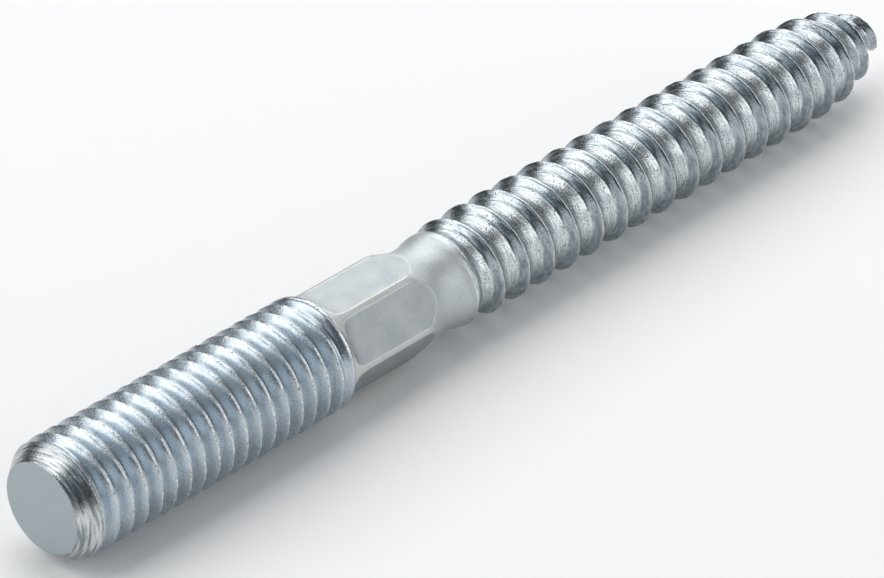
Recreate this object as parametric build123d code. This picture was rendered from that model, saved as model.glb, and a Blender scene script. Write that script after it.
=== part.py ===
import os
from math import atan, ceil, cos, degrees, pi, radians, sin, sqrt, tan

from build123d import *

os.makedirs("parts", exist_ok=True)

# Overall sizes in mm. While it is shaped, the bolt lies along x from its flat end to its point.
OVERALL_LENGTH = 98.5
END_FACE_DIAMETER = 7.5
CHAMFER_LENGTH = 1.4

# Machine thread M10 x 1.5, here as the cylinder over its crests
MACHINE_DIAMETER = 9.9
MACHINE_LENGTH = 28.8
COLLAR_EDGE = 0.4

# Hexagon pressed into the round bar between the two threads, a little turned against their start
BAR_DIAMETER = 9.0
HEX_ACROSS_FLATS = 8.0
HEX_TURN = -2.2
HEX_LENGTH = 8.8
FLAT_RUNOUT = 1.2
NECK_CONE_ANGLE = 18.0

# Neck, and the swelling from which the first turn of the wood thread grows
NECK_DIAMETER = 7.5
NECK_LENGTH = 0.6
SWELL_DIAMETER = 8.2
SWELL_LENGTH = 2.2
SWELL_LAND = 0.5

# Wood thread: one start, right-handed, a steep flank towards the hexagon and a long one behind
WOOD_DIAMETER = 8.92
WOOD_ROOT_DIAMETER = 7.2
WOOD_PITCH = 3.0
THREAD_LEAD = 1.0
THREAD_TIP_GAP = 0.45
RUN_IN_TURNS = 1.4
RUN_OUT_TURNS = 0.25
NEAR_SLOPE = 0.3
FAR_SLOPE = 1.4

# Gimlet point: the core closes in two cones, the crests as an ogive
POINT_LENGTH = 12.0
POINT_SHOULDER = 6.0
SHOULDER_DIAMETER = 5.8
CREST_POINT_LENGTH = 12.2
TIP_DIAMETER = 0.9

# How far the bolt has rolled about its own axis where it lies, in degrees
REST_ROLL = 3.6

# How the helical faces are laid out
ROOT_SINK = 0.1
PIECES_PER_TURN = 2
STEPS_PER_PIECE = 6

machine_radius = MACHINE_DIAMETER / 2
bar_radius = BAR_DIAMETER / 2
neck_radius = NECK_DIAMETER / 2
swell_radius = SWELL_DIAMETER / 2
crest_radius = WOOD_DIAMETER / 2
root_radius = WOOD_ROOT_DIAMETER / 2
tip_radius = TIP_DIAMETER / 2
hex_start = MACHINE_LENGTH + COLLAR_EDGE
hex_end = MACHINE_LENGTH + HEX_LENGTH
neck_start = hex_end + (bar_radius - neck_radius) / tan(radians(NECK_CONE_ANGLE))
swell_start = neck_start + NECK_LENGTH
swell_end = swell_start + SWELL_LENGTH
root_start = swell_end + SWELL_LAND + FAR_SLOPE * (swell_radius - root_radius)
point_start = OVERALL_LENGTH - POINT_LENGTH
shoulder = point_start + POINT_SHOULDER
shoulder_radius = SHOULDER_DIAMETER / 2
wood_start = swell_start + THREAD_LEAD
wood_end = OVERALL_LENGTH - THREAD_TIP_GAP
wood_turns = (wood_end - wood_start) / WOOD_PITCH


def root_at(x):
    """Radius of the core at x: straight, then two cones that close to the tip."""
    if x < point_start:
        return root_radius
    if x < shoulder:
        return root_radius + (shoulder_radius - root_radius) * (x - point_start) / POINT_SHOULDER
    return tip_radius + (shoulder_radius - tip_radius) * (OVERALL_LENGTH - x) / (OVERALL_LENGTH - shoulder)


def rise_at(x):
    """Height of the thread over its core at x, growing over the run-in and fading at the point."""
    run = max(0.0, x - point_start) / CREST_POINT_LENGTH
    crest = crest_radius * sqrt(max(0.0, 1 - run**2))
    grown = min(1.0, (x - wood_start) / (RUN_IN_TURNS * WOOD_PITCH))
    left = min(1.0, (wood_end - x) / (RUN_OUT_TURNS * WOOD_PITCH))
    return max(0.05, crest - root_at(x)) * max(0.0, grown * left)


def helical_edge(shift, sunk, start, stop):
    """Edge of the ridge between two turns, at its crest or sunk into the core beside it.

    shift is how far the edge stands off from the crest along the axis, as a share of the height.
    """

    def place(turn):
        x = wood_start + WOOD_PITCH * turn
        height = rise_at(x) + ROOT_SINK
        foot = min(x + shift * height, OVERALL_LENGTH - 0.1)
        radius = root_at(foot) - ROOT_SINK if sunk else root_at(x) + rise_at(x)
        angle = 2 * pi * turn
        return Vector(foot, radius * cos(angle), radius * sin(angle))

    def heading(turn):
        return (place(turn + 1e-4) - place(turn - 1e-4)) * 5e3

    step = (stop - start) / STEPS_PER_PIECE
    turns = [start + i * step for i in range(STEPS_PER_PIECE + 1)]
    return Edge.make_spline(
        [place(turn) for turn in turns],
        tangents=[heading(start), heading(stop)],
        parameters=turns,
        scale=False,
    )


# Turned blank: one outline from the end face to the tip, spun about the axis
outline = Polyline(
    (0, 0),
    (0, END_FACE_DIAMETER / 2),
    (CHAMFER_LENGTH, machine_radius),
    (MACHINE_LENGTH, machine_radius),
    (hex_start, bar_radius),
    (hex_end, bar_radius),
    (neck_start, neck_radius),
    (swell_start, neck_radius),
    (swell_end, swell_radius),
    (swell_end + SWELL_LAND, swell_radius),
    (root_start, root_radius),
    (point_start, root_radius),
    (shoulder, shoulder_radius),
    (OVERALL_LENGTH, tip_radius),
    (OVERALL_LENGTH, 0),
    close=True,
)
blank = revolve(Plane.XZ * make_face(outline), Axis.X)

# Six flats, each cut with a tool whose rounded corner leaves a run-out beside the collar
tool_block = Rectangle(swell_start - hex_start, bar_radius, align=(Align.MIN, Align.MIN))
tool_block = Pos(hex_start, HEX_ACROSS_FLATS / 2) * tool_block
near_corner = tool_block.vertices().sort_by(Axis.Y)[:2].sort_by(Axis.X)[0]
flat_tool = extrude(Plane.XZ * fillet(near_corner, FLAT_RUNOUT), bar_radius, both=True)
for i in range(6):
    blank -= Rot(60 * i + HEX_TURN, 0, 0) * flat_tool

# Wood thread: three helical faces per piece between the crest and the two sunk feet
pieces = ceil(wood_turns * PIECES_PER_TURN)
faces = []
for i in range(pieces):
    start, stop = wood_turns * i / pieces, wood_turns * (i + 1) / pieces
    near = helical_edge(-NEAR_SLOPE, True, start, stop)
    crest = helical_edge(0, False, start, stop)
    far = helical_edge(FAR_SLOPE, True, start, stop)
    faces.append(Face.make_surface_from_curves(near, crest))
    faces.append(Face.make_surface_from_curves(crest, far))
    faces.append(Face.make_surface_from_curves(far, near))
    if i == 0:
        faces.append(Face(Wire.make_polygon([near @ 0, crest @ 0, far @ 0])))
    if i == pieces - 1:
        faces.append(Face(Wire.make_polygon([near @ 1, crest @ 1, far @ 1])))
bolt = blank + Solid(Shell(faces))

# It comes to rest on its last machine crest and its last full wood crest, so the axis dips a little
rest_dip = degrees(atan((machine_radius - crest_radius) / (point_start - MACHINE_LENGTH)))
bolt = Rot(0, rest_dip, 0) * Rot(REST_ROLL, 0, 0) * bolt
box = bolt.bounding_box()
bolt = Pos(-box.center().X, 0, -box.min.Z) * bolt
bolt.label = "hanger_bolt"
export_step(bolt, "parts/hanger_bolt.step")
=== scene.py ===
import math

import bmesh
import bpy
from mathutils import Matrix, Vector


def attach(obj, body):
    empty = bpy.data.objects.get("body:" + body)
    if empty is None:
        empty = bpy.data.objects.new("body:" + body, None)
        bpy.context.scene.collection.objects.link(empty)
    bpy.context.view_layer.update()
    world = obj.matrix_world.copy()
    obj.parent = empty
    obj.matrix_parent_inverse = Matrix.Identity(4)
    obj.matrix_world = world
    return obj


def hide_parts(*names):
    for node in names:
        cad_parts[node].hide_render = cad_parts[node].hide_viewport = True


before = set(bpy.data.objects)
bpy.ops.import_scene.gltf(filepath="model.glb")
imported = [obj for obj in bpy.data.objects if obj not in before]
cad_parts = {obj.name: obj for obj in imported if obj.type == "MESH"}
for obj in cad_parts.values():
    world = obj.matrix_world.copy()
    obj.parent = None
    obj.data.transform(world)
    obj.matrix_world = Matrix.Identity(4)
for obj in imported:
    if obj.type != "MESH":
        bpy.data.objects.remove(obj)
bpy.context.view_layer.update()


# Camera: a long lens looks down on the bolt from beyond its flat end.
# The bolt runs away from it, up to the right, with its middle a little left of the centre.
AZIMUTH = math.radians(47.5)
ELEVATION = math.radians(32.8)
LENS = 193.0
CAMERA_DISTANCE = 0.375
LOOKED_AT = Vector((-0.00862, 0.0, 0.00485))
AIM_RIGHT = 0.0021
AIM_UP = 0.0003
SENSOR_WIDTH = 36
NEAREST_SEEN = 0.01

towards_camera = Vector((
    -math.sin(AZIMUTH) * math.cos(ELEVATION),
    -math.cos(AZIMUTH) * math.cos(ELEVATION),
    math.sin(ELEVATION),
))
camera_turn = towards_camera.to_track_quat("Z", "Y")
aim_shift = camera_turn @ Vector((AIM_RIGHT, AIM_UP, 0))
camera_data = bpy.data.cameras.new("camera")
camera_data.lens = LENS
camera_data.sensor_width = SENSOR_WIDTH
camera_data.clip_start = NEAREST_SEEN
camera = bpy.data.objects.new("camera", camera_data)
camera.location = LOOKED_AT + towards_camera * CAMERA_DISTANCE + aim_shift
camera.rotation_euler = camera_turn.to_euler()
bpy.context.scene.collection.objects.link(camera)
bpy.context.scene.camera = camera
bpy.context.scene.view_settings.view_transform = "Standard"


# Studio: a white sweep under the bolt. Two soft lamps side by side stand behind and above it and a
# long one low in front, with a dim gap between that the plating mirrors as dark patches. A lamp
# beyond each end lights the flanks that look that way, and two small faint ones lift the gap.
FLOOR_SIZE = 3.0
FLOOR_WHITE = (0.97, 0.97, 0.97, 1)
ROOM_GREY = (0.80, 0.88, 0.95, 1)
ROOM_STRENGTH = 0.09
DAYLIGHT_BLUE = (0.75, 0.88, 1.0)


def add_lamp(name, place, length, breadth, power, aim=0.0):
    """Oblong soft lamp with its length level, turned to the line of the bolt at aim along it."""
    data = bpy.data.lights.new(name, "AREA")
    data.shape = "RECTANGLE"
    data.size = length
    data.size_y = breadth
    data.energy = power
    lamp = bpy.data.objects.new(name, data)
    lamp.location = place
    facing = Vector(place) - Vector((aim, 0, 0))
    lamp.rotation_euler = facing.to_track_quat("Z", "Y").to_euler()
    bpy.context.scene.collection.objects.link(lamp)
    return lamp


add_lamp("back_lamp", (0.40, 0.335, 0.586), length=0.80, breadth=0.86, power=4.35, aim=0.40)
add_lamp("near_back_lamp", (-0.46, 0.335, 0.586), length=0.46, breadth=0.86, power=2.68, aim=-0.46)
add_lamp("front_lamp", (0.42, -0.70, 0.36), length=1.05, breadth=0.64, power=2.70, aim=0.42)
add_lamp("left_lamp", (-0.74, 0.32, 0.27), length=0.56, breadth=0.32, power=1.45)
add_lamp("right_lamp", (0.76, 0.2, 0.2), length=0.70, breadth=0.36, power=1.5)
add_lamp("top_lamp", (0.10, -0.27, 0.74), length=0.40, breadth=0.44, power=0.36)
fill_lamp = add_lamp("fill_lamp", (-0.71, -0.16, 0.36), length=0.26, breadth=0.26, power=0.20)
fill_lamp.data.color = DAYLIGHT_BLUE

world = bpy.data.worlds.new("room")
world.use_nodes = True
room_light = world.node_tree.nodes["Background"].inputs
room_light["Color"].default_value = ROOM_GREY
room_light["Strength"].default_value = ROOM_STRENGTH
bpy.context.scene.world = world

floor_mesh = bpy.data.meshes.new("floor")
half = FLOOR_SIZE / 2
floor_corners = [(-half, -half, 0), (half, -half, 0), (half, half, 0), (-half, half, 0)]
floor_mesh.from_pydata(floor_corners, [], [(0, 1, 2, 3)])
floor = bpy.data.objects.new("floor", floor_mesh)
bpy.context.scene.collection.objects.link(floor)
floor_paint = bpy.data.materials.new("white_sweep")
floor_paint.use_nodes = True
floor_look = floor_paint.node_tree.nodes["Principled BSDF"].inputs
floor_look["Base Color"].default_value = FLOOR_WHITE
floor_look["Roughness"].default_value = 1.0
floor_look["Specular IOR Level"].default_value = 0.0
floor_mesh.materials.append(floor_paint)


# Machine thread: M10 x 1.5, rolled into the steel bar, so its crests are narrow, with a fine seam
# along them. The end is turned to a flat face with a chamfer that cuts off the first ridge, and
# at the hexagon the groove runs out into a plain collar with a rounded edge. Sizes are in mm.
SIDES = 96
MACHINE_END = 29.0
MACHINE_PITCH = 1.5
MACHINE_CREST_AT = 0.96
MACHINE_CREST_RADIUS = 4.95
MACHINE_DEPTH = 0.92
# Over one pitch, crest to crest: the ridge's height as a share of its depth, then the mesh's lines
MACHINE_PROFILE = [
    (0.0, 0.965), (0.045, 1.0), (0.062, 0.97), (0.40, 0.08), (0.46, 0.0),
    (0.54, 0.0), (0.60, 0.08), (0.938, 0.97), (0.955, 1.0), (1.0, 0.965),
]
MACHINE_ROWS = [
    0.0, 0.02, 0.045, 0.062, 0.14, 0.26, 0.38, 0.43, 0.47, 0.53, 0.60, 0.72, 0.84, 0.938, 0.955, 0.98,
]
# Along the whole thread: the share of the depth that is there
MACHINE_FADE = [(0.0, 0.0), (0.045, 0.0), (0.08, 1.0), (0.935, 1.0), (0.975, 0.15), (1.0, 0.0)]
FACE_RADIUS = 3.75
CHAMFER_SLOPE = 1.2 / 1.6
COLLAR_EDGE_AT = 28.5
COLLAR_EDGE_SLOPE = 0.9
CUT_SOFTNESS = 0.12
MIDDLE_RADIUS = 4.5
WELD_REACH = 0.004
DENT_DEPTH = 0.10
DENT_SCALE = 1.1
CREST_FOCUS = 4
# From the noise that lays the dents out to their depth, so that only its high spots are dents
DENTED_AT = [(0.0, 0.0), (0.48, 0.0), (0.75, 1.0), (1.0, 1.0)]

# The bolt lies on its last machine crest and its last wood crest, so it dips towards the point
MM = 0.001
REST_DIP = math.radians(0.4866)
REST_ROLL = math.radians(3.6)
END_FACE_AT = Vector((-0.049234013, 0.0, 0.00519439))
lay = (
    Matrix.Translation(END_FACE_AT)
    @ Matrix.Rotation(REST_DIP, 4, "Y")
    @ Matrix.Rotation(REST_ROLL, 4, "X")
    @ Matrix.Scale(MM, 4)
)


def feed(tree, socket, value):
    """Links a value to a socket if it is another socket, or else sets it there."""
    if isinstance(value, bpy.types.NodeSocket):
        tree.links.new(value, socket)
    else:
        socket.default_value = value


def maths(tree, operation, *values):
    """Math node of one operation, in a mesh or a shader tree."""
    node = tree.nodes.new("ShaderNodeMath")
    node.operation = operation
    for socket, value in zip(node.inputs, values):
        feed(tree, socket, value)
    return node.outputs[0]


def vector(tree, x, y, z):
    """Vector of three numbers, each of them a value or a socket."""
    node = tree.nodes.new("ShaderNodeCombineXYZ")
    for socket, value in zip(node.inputs, (x, y, z)):
        feed(tree, socket, value)
    return node.outputs[0]


def noise(tree, place, scale, detail):
    """Noise Texture node at a place."""
    node = tree.nodes.new("ShaderNodeTexNoise")
    node.inputs["Detail"].default_value = detail
    tree.links.new(place, node.inputs["Vector"])
    feed(tree, node.inputs["Scale"], scale)
    return node


def drawn_curve(tree, points, value, handle="VECTOR"):
    """Float Curve node through the points, which lie between 0 and 1 both ways."""
    node = tree.nodes.new("ShaderNodeFloatCurve")
    curve = node.mapping.curves[0]
    while len(curve.points) < len(points):
        curve.points.new(0.5, 0.5)
    for point, place in zip(curve.points, points):
        point.location = place
        point.handle_type = handle
    node.mapping.update()
    feed(tree, node.inputs["Value"], value)
    return node.outputs["Value"]


def spread(tree, value, steps, places):
    """Steps counted from 0, whose lines are moved: places are the shares of a step where they lie."""
    step = maths(tree, "MULTIPLY", value, steps)
    within = [(i / len(places), share) for i, share in enumerate(places)] + [(1.0, 1.0)]
    share = drawn_curve(tree, within, maths(tree, "FRACT", step))
    return maths(tree, "ADD", maths(tree, "FLOOR", step), share)


def next_node(tree, kind, geometry):
    """Geometry node of one kind, fed with the geometry of the one before it."""
    node = tree.nodes.new(kind)
    tree.links.new(geometry, node.inputs["Geometry"])
    return node


def dents_at(tree, given, along, sideways, upwards):
    """How much the surface is dented at a place, 0 to 1, in patches that Seed lays out."""
    y = maths(tree, "MULTIPLY", sideways, MIDDLE_RADIUS)
    z = maths(tree, "MULTIPLY", upwards, MIDDLE_RADIUS)
    wear = noise(tree, vector(tree, along, y, z), DENT_SCALE, detail=3)
    wear.noise_dimensions = "4D"
    tree.links.new(given["Seed"], wear.inputs["W"])
    return drawn_curve(tree, DENTED_AT, wear.outputs["Fac"])


def length_tree(name, sizes, row_places, side_places, radius_of):
    """Tree that turns a grid into one length of the bolt, from Start to End along its axis.

    The rows of the grid climb by Pitch in a turn, so they follow the thread, and are clipped to
    the two ends. row_places and side_places say where the lines of each of its Steps and
    Sectors lie. radius_of(tree, given, along, around, dents) adds the nodes for the radius.
    """
    tree = bpy.data.node_groups.new(name, "GeometryNodeTree")
    for label, value in sizes.items():
        kind = "NodeSocketInt" if isinstance(value, int) else "NodeSocketFloat"
        socket = tree.interface.new_socket(name=label, in_out="INPUT", socket_type=kind)
        socket.default_value = value
    tree.interface.new_socket(name="Finish", in_out="INPUT", socket_type="NodeSocketMaterial")
    tree.interface.new_socket(name="Mesh", in_out="OUTPUT", socket_type="NodeSocketGeometry")
    given = tree.nodes.new("NodeGroupInput").outputs
    grid = tree.nodes.new("GeometryNodeMeshGrid")
    rows = maths(tree, "MULTIPLY_ADD", given["Steps"], len(row_places), 1)
    sides = maths(tree, "MULTIPLY_ADD", given["Sectors"], len(side_places), 1)
    tree.links.new(rows, grid.inputs["Vertices X"])
    tree.links.new(sides, grid.inputs["Vertices Y"])
    place = tree.nodes.new("ShaderNodeSeparateXYZ")
    tree.links.new(tree.nodes.new("GeometryNodeInputPosition").outputs[0], place.inputs[0])
    step = spread(tree, maths(tree, "ADD", place.outputs["X"], 0.5), given["Steps"], row_places)
    sector = spread(tree, maths(tree, "ADD", place.outputs["Y"], 0.5), given["Sectors"], side_places)
    around = maths(tree, "DIVIDE", sector, given["Sectors"])
    ring = maths(tree, "MULTIPLY_ADD", step, given["Row step"], given["First row"])
    climb = maths(tree, "MULTIPLY_ADD", around, given["Pitch"], ring)
    along = maths(tree, "MINIMUM", maths(tree, "MAXIMUM", climb, given["Start"]), given["End"])
    angle = maths(tree, "MULTIPLY_ADD", around, 2 * math.pi, maths(tree, "RADIANS", given["Turn"]))
    sideways = maths(tree, "COSINE", angle)
    upwards = maths(tree, "SINE", angle)
    dents = dents_at(tree, given, along, sideways, upwards)
    radius = radius_of(tree, given, along, around, dents)
    y = maths(tree, "MULTIPLY", radius, sideways)
    z = maths(tree, "MULTIPLY", radius, upwards)
    move = next_node(tree, "GeometryNodeSetPosition", grid.outputs["Mesh"])
    tree.links.new(vector(tree, along, y, z), move.inputs["Position"])
    weld = next_node(tree, "GeometryNodeMergeByDistance", move.outputs[0])
    weld.inputs["Distance"].default_value = WELD_REACH
    real = next_node(tree, "GeometryNodeRealizeInstances", weld.outputs[0])
    painted = next_node(tree, "GeometryNodeSetMaterial", real.outputs[0])
    tree.links.new(given["Finish"], painted.inputs["Material"])
    tree.links.new(painted.outputs[0], tree.nodes.new("NodeGroupOutput").inputs["Mesh"])
    return tree


def length_of_bolt(name, sizes, row_places, side_places, radius_of, finish):
    """Object with the plain mesh of one length of the bolt, where it lies."""
    tree = length_tree(name, sizes, row_places, side_places, radius_of)
    maker = bpy.data.objects.new(name + "_maker", bpy.data.meshes.new(name + "_maker"))
    bpy.context.scene.collection.objects.link(maker)
    modifier = maker.modifiers.new(name, "NODES")
    modifier.node_group = tree
    for socket in tree.interface.items_tree:
        if socket.in_out == "INPUT":
            modifier[socket.identifier] = finish if socket.name == "Finish" else sizes[socket.name]
    bpy.context.view_layer.update()
    made = maker.evaluated_get(bpy.context.evaluated_depsgraph_get())
    mesh = bpy.data.meshes.new_from_object(made)
    bpy.data.objects.remove(maker)
    mesh.transform(lay)
    piece = bpy.data.objects.new(name, mesh)
    bpy.context.scene.collection.objects.link(piece)
    return piece


def thread_phase(tree, along, around, crest_at, pitch):
    """How far past a crest a point lies, as a share of the pitch."""
    turn = maths(tree, "DIVIDE", maths(tree, "SUBTRACT", along, crest_at), pitch)
    return maths(tree, "FRACT", maths(tree, "SUBTRACT", turn, around))


def crest_dent(tree, ridge, dents):
    """Depth of the dents, which only the crests have."""
    depth = maths(tree, "MULTIPLY", dents, DENT_DEPTH)
    return maths(tree, "MULTIPLY", maths(tree, "POWER", ridge, CREST_FOCUS), depth)


def machine_radius(tree, given, along, around, dents):
    """Radius of the rolled thread, cut by the chamfer and faded out into the collar."""
    phase = thread_phase(tree, along, around, given["Crest at"], given["Pitch"])
    ridge = drawn_curve(tree, MACHINE_PROFILE, phase)
    share = maths(tree, "DIVIDE", along, given["End"])
    depth = maths(tree, "MULTIPLY", given["Depth"], drawn_curve(tree, MACHINE_FADE, share))
    groove = maths(tree, "MULTIPLY", depth, maths(tree, "SUBTRACT", 1.0, ridge))
    dent = crest_dent(tree, ridge, dents)
    thread = maths(tree, "SUBTRACT", given["Crest radius"], maths(tree, "ADD", groove, dent))
    chamfer = maths(tree, "MULTIPLY_ADD", along, CHAMFER_SLOPE, FACE_RADIUS)
    cut = maths(tree, "SMOOTH_MIN", thread, chamfer, CUT_SOFTNESS)
    past_edge = maths(tree, "SUBTRACT", along, COLLAR_EDGE_AT)
    edge = maths(tree, "MULTIPLY_ADD", past_edge, -COLLAR_EDGE_SLOPE, given["Crest radius"])
    return maths(tree, "SMOOTH_MIN", cut, edge, CUT_SOFTNESS)


def ramp(tree, value, low, high, start=0.0, end=1.0):
    """Map Range node from low..high to start..end, held at the ends."""
    node = tree.nodes.new("ShaderNodeMapRange")
    feed(tree, node.inputs["Value"], value)
    node.inputs["From Min"].default_value = low
    node.inputs["From Max"].default_value = high
    node.inputs["To Min"].default_value = start
    node.inputs["To Max"].default_value = end
    return node.outputs["Result"]


# The plating: two shader groups that all three finishes use. One says where a point of the
# surface lies on the bolt, and the other lays out the marks that zinc over steel has there.
STREAK_DRIFT = 0.37
CLOUD_SCALE = 0.55
PIT_SCALE = 0.8
PIT_LEVELS = (0.60, 0.70)


def place_group():
    """Shader group: from Object coordinates to the place along, out from and round the axis."""
    tree = bpy.data.node_groups.new("place_on_bolt", "ShaderNodeTree")
    for label in ("Pitch", "Crest at"):
        tree.interface.new_socket(name=label, in_out="INPUT", socket_type="NodeSocketFloat")
    tree.interface.new_socket(name="Object", in_out="INPUT", socket_type="NodeSocketVector")
    for label in ("Along", "Out", "Phase"):
        tree.interface.new_socket(name=label, in_out="OUTPUT", socket_type="NodeSocketFloat")
    for label in ("Place", "Round"):
        tree.interface.new_socket(name=label, in_out="OUTPUT", socket_type="NodeSocketVector")
    given = tree.nodes.new("NodeGroupInput").outputs
    made = tree.nodes.new("NodeGroupOutput").inputs
    raised = lay.inverted()
    upright = tree.nodes.new("ShaderNodeMapping")
    upright.inputs["Location"].default_value = raised.to_translation()
    upright.inputs["Rotation"].default_value = raised.to_euler()
    upright.inputs["Scale"].default_value = raised.to_scale()
    tree.links.new(given["Object"], upright.inputs["Vector"])
    tree.links.new(upright.outputs[0], made["Place"])
    split = tree.nodes.new("ShaderNodeSeparateXYZ")
    tree.links.new(upright.outputs[0], split.inputs[0])
    along, side, up = split.outputs
    tree.links.new(along, made["Along"])
    out = maths(tree, "SQRT", maths(tree, "MULTIPLY_ADD", side, side, maths(tree, "MULTIPLY", up, up)))
    tree.links.new(out, made["Out"])
    around = maths(tree, "DIVIDE", maths(tree, "ARCTAN2", up, side), 2 * math.pi)
    phase = thread_phase(tree, along, around, given["Crest at"], given["Pitch"])
    tree.links.new(phase, made["Phase"])
    across = maths(tree, "MULTIPLY", phase, given["Pitch"])
    drift = maths(tree, "MULTIPLY", along, STREAK_DRIFT)
    sideways = maths(tree, "ADD", maths(tree, "DIVIDE", side, out), drift)
    upwards = maths(tree, "DIVIDE", up, out)
    tree.links.new(vector(tree, across, sideways, upwards), made["Round"])
    return tree


def marks_group():
    """Shader group: fine grain, cloudy tone, drawn-out streaks and small pits, each 0 to 1."""
    tree = bpy.data.node_groups.new("plating_marks", "ShaderNodeTree")
    for label in ("Place", "Round"):
        tree.interface.new_socket(name=label, in_out="INPUT", socket_type="NodeSocketVector")
    for label in ("Grain scale", "Streak scale", "Streak length"):
        tree.interface.new_socket(name=label, in_out="INPUT", socket_type="NodeSocketFloat")
    for label in ("Grain", "Cloud", "Streak", "Pits"):
        tree.interface.new_socket(name=label, in_out="OUTPUT", socket_type="NodeSocketFloat")
    given = tree.nodes.new("NodeGroupInput").outputs
    made = tree.nodes.new("NodeGroupOutput").inputs
    grain = noise(tree, given["Place"], given["Grain scale"], detail=3)
    tree.links.new(grain.outputs["Fac"], made["Grain"])
    cloud = noise(tree, given["Place"], CLOUD_SCALE, detail=2)
    tree.links.new(cloud.outputs["Fac"], made["Cloud"])
    drawn = tree.nodes.new("ShaderNodeVectorMath")
    drawn.operation = "MULTIPLY"
    tree.links.new(given["Round"], drawn.inputs[0])
    stretch = vector(tree, given["Streak scale"], given["Streak length"], given["Streak length"])
    tree.links.new(stretch, drawn.inputs[1])
    streak = noise(tree, drawn.outputs[0], scale=1.0, detail=4)
    tree.links.new(streak.outputs["Fac"], made["Streak"])
    pit_scale = maths(tree, "MULTIPLY", given["Grain scale"], PIT_SCALE)
    pits = noise(tree, given["Place"], pit_scale, detail=2)
    tree.links.new(ramp(tree, pits.outputs["Fac"], *PIT_LEVELS), made["Pits"])
    return tree


place_on_bolt = place_group()
plating_marks = marks_group()


def blend(tree, share, first, second):
    """Mix of two colours, of which either may be a socket."""
    node = tree.nodes.new("ShaderNodeMix")
    node.data_type = "RGBA"
    feed(tree, node.inputs["Factor"], share)
    feed(tree, node.inputs["A"], first)
    feed(tree, node.inputs["B"], second)
    return node.outputs["Result"]


def toned(tree, mark, levels, tones):
    """Colour that goes from the first tone to the second as a mark goes from low to high."""
    return blend(tree, ramp(tree, mark, *levels), *tones)


def less(tree, share):
    """What a share leaves over."""
    return maths(tree, "SUBTRACT", 1.0, share)


def zinc_finish(name, pitch, crest_at, grain_scale, streak_scale, streak_length):
    """Metal material with the two groups in place. Returns it, its tree, skin and their outputs."""
    finish = bpy.data.materials.new(name)
    finish.use_nodes = True
    tree = finish.node_tree
    skin = tree.nodes["Principled BSDF"]
    skin.inputs["Metallic"].default_value = 1.0
    coordinates = tree.nodes.new("ShaderNodeTexCoord")
    place = tree.nodes.new("ShaderNodeGroup")
    place.node_tree = place_on_bolt
    place.inputs["Pitch"].default_value = pitch
    place.inputs["Crest at"].default_value = crest_at
    tree.links.new(coordinates.outputs["Object"], place.inputs["Object"])
    marks = tree.nodes.new("ShaderNodeGroup")
    marks.node_tree = plating_marks
    marks.inputs["Grain scale"].default_value = grain_scale
    marks.inputs["Streak scale"].default_value = streak_scale
    marks.inputs["Streak length"].default_value = streak_length
    tree.links.new(place.outputs["Place"], marks.inputs["Place"])
    tree.links.new(place.outputs["Round"], marks.inputs["Round"])
    return finish, tree, skin, place.outputs, marks.outputs


def emboss(tree, skin, height, depth):
    """Bump node with that depth in metres under the metal's normal."""
    bump = tree.nodes.new("ShaderNodeBump")
    bump.inputs["Strength"].default_value = 1.0
    bump.inputs["Distance"].default_value = depth
    tree.links.new(height, bump.inputs["Height"])
    tree.links.new(bump.outputs["Normal"], skin.inputs["Normal"])


# Rolled thread's finish: smooth bluish flanks, and pitted crests with a painted highlight, a paler tone.
# The chamfer and the flat end are turned, so the one carries bright rings and the other is matte.
SOFT_LEVELS = (0.3, 0.7)
# A band is where one look gives way to another, in mm out from the axis or along it
CREST_BAND = (4.88, 4.94)
CHAMFER_BAND = (1.9, 1.5)
FACE_BAND = (0.06, 0.02)
FLANK_TONES = ((0.465, 0.53, 0.585, 1), (0.555, 0.625, 0.68, 1))
# Crest tones, paler than the flanks: a painted highlight along the crest lines
CREST_HIGHLIGHT_TONES = ((0.49, 0.53, 0.56, 1), (0.88, 0.88, 0.86, 1))
CREST_PIT_TONE = (0.20, 0.22, 0.23, 1)
CHAMFER_TONES = ((0.27, 0.30, 0.325, 1), (0.68, 0.705, 0.715, 1))
FACE_TONES = ((0.435, 0.49, 0.515, 1), (0.46, 0.51, 0.53, 1))
ROLLED_ROUGHNESS = (0.24, 0.33)
CREST_POLISH = 0.06
FACE_DULLNESS = 0.3
ROLLED_RELIEF = 0.03
FLANK_RINGS = 0.2
CHAMFER_RINGS = 2.0
ROLLED_GRAIN = 0.2
FLANK_PITS = 0.2
CREST_PITS = 1.2

rolled_zinc, tree, skin, place, marks = zinc_finish(
    "rolled_zinc", MACHINE_PITCH, MACHINE_CREST_AT, grain_scale=6.0, streak_scale=5.5, streak_length=2.0
)
crest_share = ramp(tree, place["Out"], *CREST_BAND)
chamfer_share = ramp(tree, place["Along"], *CHAMFER_BAND)
face_share = ramp(tree, place["Along"], *FACE_BAND)
flank_tone = toned(tree, marks["Cloud"], SOFT_LEVELS, FLANK_TONES)
# The crests are painted paler where the grain is high: a painted highlight along the crest lines
crest_highlight_tone = toned(tree, marks["Grain"], (0.4, 0.6), CREST_HIGHLIGHT_TONES)
chamfer_tone = toned(tree, marks["Streak"], (0.42, 0.58), CHAMFER_TONES)
face_tone = toned(tree, marks["Cloud"], SOFT_LEVELS, FACE_TONES)
tone = blend(tree, crest_share, flank_tone, crest_highlight_tone)
tone = blend(tree, maths(tree, "MULTIPLY", crest_share, marks["Pits"]), tone, CREST_PIT_TONE)
tone = blend(tree, chamfer_share, tone, chamfer_tone)
tone = blend(tree, face_share, tone, face_tone)
tree.links.new(tone, skin.inputs["Base Color"])
gloss = ramp(tree, marks["Grain"], *SOFT_LEVELS, *ROLLED_ROUGHNESS)
gloss = maths(tree, "MULTIPLY_ADD", crest_share, -CREST_POLISH, gloss)
gloss = maths(tree, "MULTIPLY_ADD", face_share, FACE_DULLNESS, gloss)
tree.links.new(gloss, skin.inputs["Roughness"])
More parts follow.
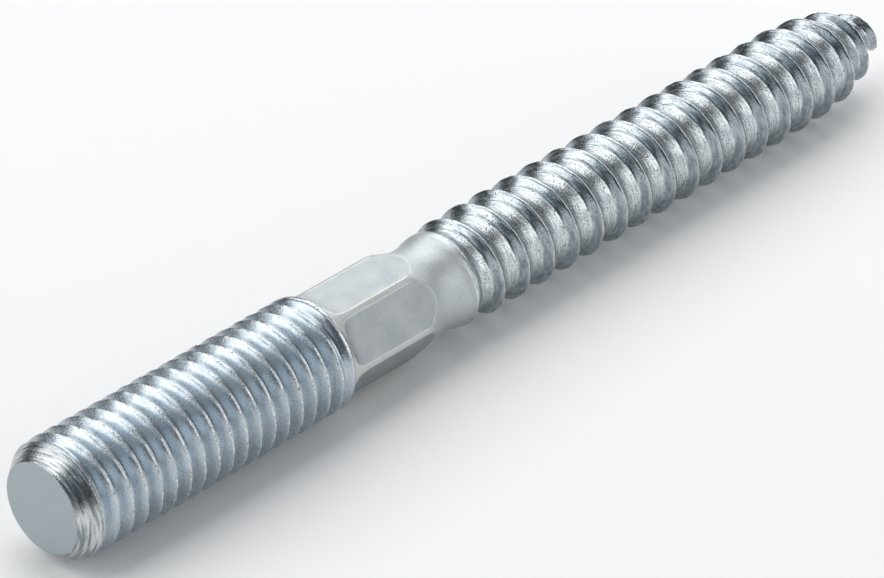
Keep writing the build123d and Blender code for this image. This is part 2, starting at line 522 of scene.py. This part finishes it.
ring_depth = maths(tree, "MULTIPLY_ADD", chamfer_share, CHAMFER_RINGS - FLANK_RINGS, FLANK_RINGS)
ring_depth = maths(tree, "MULTIPLY", ring_depth, less(tree, face_share))
rings = maths(tree, "MULTIPLY", marks["Streak"], ring_depth)
pit_depth = maths(tree, "MULTIPLY_ADD", crest_share, FLANK_PITS - CREST_PITS, -FLANK_PITS)
pits = maths(tree, "MULTIPLY", marks["Pits"], pit_depth)
relief = maths(tree, "ADD", pits, maths(tree, "MULTIPLY_ADD", marks["Grain"], ROLLED_GRAIN, rings))
emboss(tree, skin, relief, ROLLED_RELIEF * MM)

machine_turns = math.ceil(MACHINE_END / MACHINE_PITCH) + 2
machine_sizes = {
    "Start": 0.0,
    "End": MACHINE_END,
    "First row": MACHINE_CREST_AT - 2 * MACHINE_PITCH,
    "Row step": MACHINE_PITCH,
    "Steps": machine_turns + 1,
    "Sectors": SIDES,
    "Turn": 0.0,
    "Seed": 3,
    "Pitch": MACHINE_PITCH,
    "Crest at": MACHINE_CREST_AT,
    "Crest radius": MACHINE_CREST_RADIUS,
    "Depth": MACHINE_DEPTH,
}
machine_thread = length_of_bolt(
    "machine_thread", machine_sizes, MACHINE_ROWS, [0.0], machine_radius, rolled_zinc
)


# Hexagon and neck: the bare bar between the threads, pressed flat on six sides for a spanner, with
# a strip of the round bar left at each corner. Each flat sweeps up to the collar in a small
# hollow, and ends in an arc where the bar tapers to the neck that the wood thread grows from.
HEX_START = 29.02
HEX_END = 40.8
HEX_ROW_STEP = 0.12
BAR_RADIUS = 4.5
NECK_RADIUS = 3.75
TAPER_AT = 37.6
TAPER_SLOPE = math.tan(math.radians(18))
FLAT_DISTANCE = 4.0
FLAT_TURN = -2.2
FLAT_COUNT = 6
FLAT_RUN_OUT = [
    (0.0, 0.60), (0.01, 0.38), (0.03, 0.20), (0.06, 0.07), (0.1, 0.015), (0.14, 0.0), (1.0, 0.0),
]
TAPER_SOFTNESS = 0.25
FLAT_SOFTNESS = 0.01
EDGE_WIDTH = 0.008
FLAT_STRIPS = 26


def hexagon_radius(tree, given, along, around, dents):
    """Radius of the tapering bar, cut by the six flats. It has no dents."""
    taper = maths(tree, "MULTIPLY_ADD", maths(tree, "SUBTRACT", along, TAPER_AT), -TAPER_SLOPE, BAR_RADIUS)
    bar = maths(tree, "SMOOTH_MIN", given["Bar radius"], taper, TAPER_SOFTNESS)
    bar = maths(tree, "SMOOTH_MAX", bar, given["Neck radius"], TAPER_SOFTNESS)
    past = maths(tree, "SUBTRACT", along, given["Start"])
    share = maths(tree, "DIVIDE", past, maths(tree, "SUBTRACT", given["End"], given["Start"]))
    distance = maths(tree, "ADD", given["Flat distance"], drawn_curve(tree, FLAT_RUN_OUT, share, "AUTO"))
    side = maths(tree, "FRACT", maths(tree, "MULTIPLY", around, FLAT_COUNT))
    turn = maths(tree, "MULTIPLY", maths(tree, "SUBTRACT", side, 0.5), 2 * math.pi / FLAT_COUNT)
    flat = maths(tree, "DIVIDE", distance, maths(tree, "COSINE", turn))
    return maths(tree, "SMOOTH_MIN", bar, flat, FLAT_SOFTNESS)


# The lines of the grid crowd together at both edges of each flat, so that those stay crisp
flat_edge = 0.5 - math.acos(FLAT_DISTANCE / BAR_RADIUS) / (2 * math.pi / FLAT_COUNT)
strip = (1 - 2 * flat_edge - 2 * EDGE_WIDTH) / FLAT_STRIPS
hexagon_sides = [0.0, flat_edge - EDGE_WIDTH, flat_edge]
hexagon_sides += [flat_edge + EDGE_WIDTH + i * strip for i in range(FLAT_STRIPS + 1)]
hexagon_sides += [1 - flat_edge, 1 - flat_edge + EDGE_WIDTH]

# Hexagon's finish: the flats are matte, with a faint cloudy grain. The strips of the round bar
# between them carry a painted highlight, a paler tone than the neck's, and the neck is satin.
FLAT_TONES = ((0.365, 0.395, 0.41, 1), (0.43, 0.46, 0.475, 1))
# Paler tone of the corner strips: a painted highlight
STRIP_HIGHLIGHT_TONE = (0.62, 0.635, 0.63, 1)
NECK_TONES = ((0.49, 0.53, 0.55, 1), (0.575, 0.61, 0.63, 1))
NECK_LEVELS = (0.35, 0.65)
BAR_BAND = (BAR_RADIUS - 0.07, BAR_RADIUS - 0.03)
# Along the bar, where the painted highlight of the corner strips gives way to the neck's tone
STRIP_HIGHLIGHT_BAND = (TAPER_AT + 1.0, TAPER_AT)
PRESSED_ROUGHNESS = (0.38, 0.50)
BAR_DULLNESS = 0.05
PRESSED_RELIEF = 0.034
PRESSED_PITS = 0.2

pressed_zinc, tree, skin, place, marks = zinc_finish(
    "pressed_zinc", pitch=1.0, crest_at=0.0, grain_scale=6.0, streak_scale=5.0, streak_length=2.0
)
flat_tone = toned(tree, marks["Cloud"], SOFT_LEVELS, FLAT_TONES)
neck_tone = toned(tree, marks["Grain"], NECK_LEVELS, NECK_TONES)
# The round bar: the neck's tone, with a painted highlight in a paler tone on the strips at the corners
bar_tone_with_highlight = blend(tree, ramp(tree, place["Along"], *STRIP_HIGHLIGHT_BAND), neck_tone, STRIP_HIGHLIGHT_TONE)
past_taper = maths(tree, "MAXIMUM", maths(tree, "SUBTRACT", place["Along"], TAPER_AT), 0.0)
untapered = maths(tree, "MULTIPLY_ADD", past_taper, TAPER_SLOPE, place["Out"])
bar_share = ramp(tree, untapered, *BAR_BAND)
tree.links.new(blend(tree, bar_share, flat_tone, bar_tone_with_highlight), skin.inputs["Base Color"])
gloss = ramp(tree, marks["Grain"], *SOFT_LEVELS, *PRESSED_ROUGHNESS)
gloss = maths(tree, "MULTIPLY_ADD", bar_share, BAR_DULLNESS, gloss)
tree.links.new(gloss, skin.inputs["Roughness"])
relief = maths(tree, "MULTIPLY_ADD", marks["Pits"], -PRESSED_PITS, marks["Grain"])
emboss(tree, skin, relief, PRESSED_RELIEF * MM)

hexagon_rows = math.ceil((HEX_END - HEX_START) / HEX_ROW_STEP)
hexagon_sizes = {
    "Start": HEX_START,
    "End": HEX_END,
    "First row": HEX_START,
    "Row step": (HEX_END - HEX_START) / hexagon_rows,
    "Steps": hexagon_rows,
    "Sectors": FLAT_COUNT,
    "Turn": FLAT_TURN,
    "Seed": 3,
    "Pitch": 0.0,
    "Bar radius": BAR_RADIUS,
    "Neck radius": NECK_RADIUS,
    "Flat distance": FLAT_DISTANCE,
}
hexagon = length_of_bolt("hexagon", hexagon_sizes, [0.0], hexagon_sides, hexagon_radius, pressed_zinc)


# Wood thread: coarse, with a sharp crest, a steep flank on the hexagon's side and a long one
# behind it, cut into the bar and closed in a gimlet point. It grows out of a low swelling.
WOOD_START = 40.82
WOOD_END = 98.25
WOOD_PITCH = 3.0
WOOD_CREST_AT = 41.8
WOOD_LONGEST_RADIUS = 5.0
# The ridge over one pitch and the mesh's lines in it, then the core and the crests, in mm
WOOD_PROFILE = [
    (0.0, 1.0), (0.018, 0.985), (0.06, 0.82), (0.12, 0.60), (0.20, 0.36), (0.28, 0.18), (0.36, 0.065),
    (0.46, 0.0), (0.77, 0.0), (0.81, 0.03), (0.845, 0.13), (0.88, 0.335), (0.915, 0.55), (0.95, 0.765),
    (0.985, 0.985), (1.0, 1.0),
]
WOOD_ROWS = [
    0.0, 0.018, 0.06, 0.12, 0.20, 0.28, 0.36, 0.48, 0.62, 0.76, 0.81, 0.845, 0.88, 0.915, 0.95, 0.985,
]
WOOD_CORE = [
    (40.8, 3.75), (41.3, 3.77), (41.8, 3.84), (42.4, 3.98), (42.9, 4.07), (43.5, 4.08), (44.3, 3.62),
    (86.5, 3.6), (90.7, 3.42), (94.1, 2.6), (96.6, 1.42), (97.9, 0.85), (98.25, 0.6),
]
WOOD_CREST = [
    (40.8, 3.75), (41.8, 3.86), (42.4, 4.02), (43.0, 4.2), (46.0, 4.44), (47.0, 4.46), (87.5, 4.46),
    (89.7, 4.32), (91.75, 4.08), (93.5, 3.66), (95.0, 3.10), (96.3, 2.45), (97.4, 1.85), (97.9, 1.4),
    (98.25, 0.8),
]


def wood_outline(tree, points, share):
    """Radius along an outline given in mm, as a share of the longest radius that a curve holds."""
    length = WOOD_END - WOOD_START
    shares = [((x - WOOD_START) / length, radius / WOOD_LONGEST_RADIUS) for x, radius in points]
    return drawn_curve(tree, shares, share)


def wood_radius(tree, given, along, around, dents):
    """Radius of the core with the ridge of the wood thread on it."""
    past = maths(tree, "SUBTRACT", along, given["Start"])
    share = maths(tree, "DIVIDE", past, maths(tree, "SUBTRACT", given["End"], given["Start"]))
    core = wood_outline(tree, WOOD_CORE, share)
    crest = wood_outline(tree, WOOD_CREST, share)
    phase = thread_phase(tree, along, around, given["Crest at"], given["Pitch"])
    ridge = drawn_curve(tree, WOOD_PROFILE, phase)
    height = maths(tree, "MAXIMUM", maths(tree, "SUBTRACT", crest, core), 0.0)
    ridged = maths(tree, "MULTIPLY_ADD", height, ridge, core)
    radius = maths(tree, "MULTIPLY", ridged, WOOD_LONGEST_RADIUS)
    dent = crest_dent(tree, ridge, dents)
    return maths(tree, "SUBTRACT", radius, dent)


# Wood thread's finish: the root and the long flank are streaked and catch the light in specks,
# the steep flank is smooth with painted shade that darkens it, the crest is a thin pitted line with
# a painted highlight in a paler tone, and the swelling before the first crest is satin like the neck.
THREADED_BAND = (42.9, 43.5)
# These bands are in shares of the pitch past a crest
STEEP_BANDS = ((0.80, 0.85), (0.992, 0.982))
WOOD_CREST_BANDS = ((0.982, 0.992), (0.022, 0.012))
ROOT_TONES = ((0.53, 0.58, 0.605, 1), (0.84, 0.88, 0.90, 1))
# Darker tones of the steep flank, which faces the turn before it: painted shade
STEEP_SHADE_TONES = ((0.32, 0.365, 0.395, 1), (0.525, 0.575, 0.61, 1))
# Pale crest tone: a painted highlight along the crest line
WOOD_CREST_HIGHLIGHT_TONE = (0.80, 0.81, 0.80, 1)
WOOD_PIT_TONE = (0.12, 0.14, 0.16, 1)
WOOD_PIT_STRENGTH = 0.8
CUT_ROUGHNESS = (0.14, 0.26)
SWELLING_DULLNESS = 0.29
CUT_RELIEF = 0.028
CUT_GRAIN = 1.2
CUT_PITS = 0.6
STEEP_RELIEF = 0.3

cut_zinc, tree, skin, place, marks = zinc_finish(
    "cut_zinc", WOOD_PITCH, WOOD_CREST_AT, grain_scale=8.0, streak_scale=7.0, streak_length=4.0
)
steep_start, steep_end = (ramp(tree, place["Phase"], *band) for band in STEEP_BANDS)
steep_share = maths(tree, "MULTIPLY", steep_start, steep_end)
before_crest, past_crest = (ramp(tree, place["Phase"], *band) for band in WOOD_CREST_BANDS)
crest_share = maths(tree, "MAXIMUM", before_crest, past_crest)
threaded_share = ramp(tree, place["Along"], *THREADED_BAND)
root_tone = toned(tree, marks["Streak"], (0.35, 0.65), ROOT_TONES)
# The steep flank is painted darker: painted shade
steep_shade_tone = toned(tree, marks["Streak"], (0.40, 0.62), STEEP_SHADE_TONES)
swelling_tone = toned(tree, marks["Grain"], NECK_LEVELS, NECK_TONES)
tone = blend(tree, steep_share, root_tone, steep_shade_tone)
# The crest line is painted paler where the grain is high: a painted highlight
tone = blend(tree, maths(tree, "MULTIPLY", crest_share, marks["Grain"]), tone, WOOD_CREST_HIGHLIGHT_TONE)
tone = blend(tree, maths(tree, "MULTIPLY", marks["Pits"], WOOD_PIT_STRENGTH), tone, WOOD_PIT_TONE)
tone = blend(tree, threaded_share, swelling_tone, tone)
tree.links.new(tone, skin.inputs["Base Color"])
gloss = ramp(tree, marks["Streak"], *SOFT_LEVELS, *CUT_ROUGHNESS)
gloss = maths(tree, "MULTIPLY_ADD", less(tree, threaded_share), SWELLING_DULLNESS, gloss)
tree.links.new(gloss, skin.inputs["Roughness"])
streaked_share = maths(tree, "MULTIPLY", threaded_share, less(tree, steep_share))
rough_share = maths(tree, "MULTIPLY_ADD", streaked_share, 1.0 - STEEP_RELIEF, STEEP_RELIEF)
grained = maths(tree, "MULTIPLY_ADD", marks["Grain"], CUT_GRAIN, marks["Streak"])
relief = maths(tree, "MULTIPLY_ADD", marks["Pits"], -CUT_PITS, grained)
emboss(tree, skin, maths(tree, "MULTIPLY", relief, rough_share), CUT_RELIEF * MM)

wood_turns = math.ceil((WOOD_END - WOOD_START) / WOOD_PITCH) + 2
wood_sizes = {
    "Start": WOOD_START,
    "End": WOOD_END,
    "First row": WOOD_CREST_AT - 2 * WOOD_PITCH,
    "Row step": WOOD_PITCH,
    "Steps": wood_turns + 1,
    "Sectors": SIDES,
    "Turn": 0.0,
    "Seed": 5,
    "Pitch": WOOD_PITCH,
    "Crest at": WOOD_CREST_AT,
}
wood_thread = length_of_bolt("wood_thread", wood_sizes, WOOD_ROWS, [0.0], wood_radius, cut_zinc)


# The bolt: one piece of steel, so its three lengths are joined into one closed skin, and the
# flat end and the blunt tip are capped. It has no other piece.
RIM_WIDTH = 0.12 * MM
TIP_RIM = 0.25 * MM
TIP_REACH = 0.25 * MM
RIM_SEARCH = 0.5

finishes = [rolled_zinc, pressed_zinc, cut_zinc]
shell = bmesh.new()
for index, piece in enumerate((machine_thread, hexagon, wood_thread)):
    count = len(shell.faces)
    shell.from_mesh(piece.data)
    shell.faces.ensure_lookup_table()
    for face in shell.faces[count:]:
        face.material_index = index
    bpy.data.objects.remove(piece)
bmesh.ops.remove_doubles(shell, verts=shell.verts, dist=WELD_REACH * MM)
bmesh.ops.dissolve_degenerate(shell, edges=shell.edges, dist=WELD_REACH * MM)
straight = lay.inverted()


def open_rims(along):
    """Open edges of the shell at a place along the bolt, in mm."""
    edges = [edge for edge in shell.edges if edge.is_boundary]
    return [edge for edge in edges if abs((straight @ edge.verts[0].co).x - along) < RIM_SEARCH]


for joint in (MACHINE_END, HEX_END):
    bmesh.ops.bridge_loops(shell, edges=open_rims(joint))
flat_end = bmesh.ops.edgeloop_fill(shell, edges=open_rims(0.0))["faces"]
bmesh.ops.inset_region(shell, faces=flat_end, thickness=RIM_WIDTH)
tip = bmesh.ops.edgeloop_fill(shell, edges=open_rims(WOOD_END), mat_nr=finishes.index(cut_zinc))["faces"]
bmesh.ops.inset_region(shell, faces=tip, thickness=TIP_RIM)
for vertex in tip[0].verts:
    vertex.co.x += TIP_REACH
bmesh.ops.recalc_face_normals(shell, faces=shell.faces)
for face in shell.faces:
    face.smooth = True
bolt_mesh = bpy.data.meshes.new("bolt")
shell.to_mesh(bolt_mesh)
shell.free()
for finish in finishes:
    bolt_mesh.materials.append(finish)
bolt = bpy.data.objects.new("bolt", bolt_mesh)
bpy.context.scene.collection.objects.link(bolt)
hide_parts("hanger_bolt")
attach(bolt, "root")
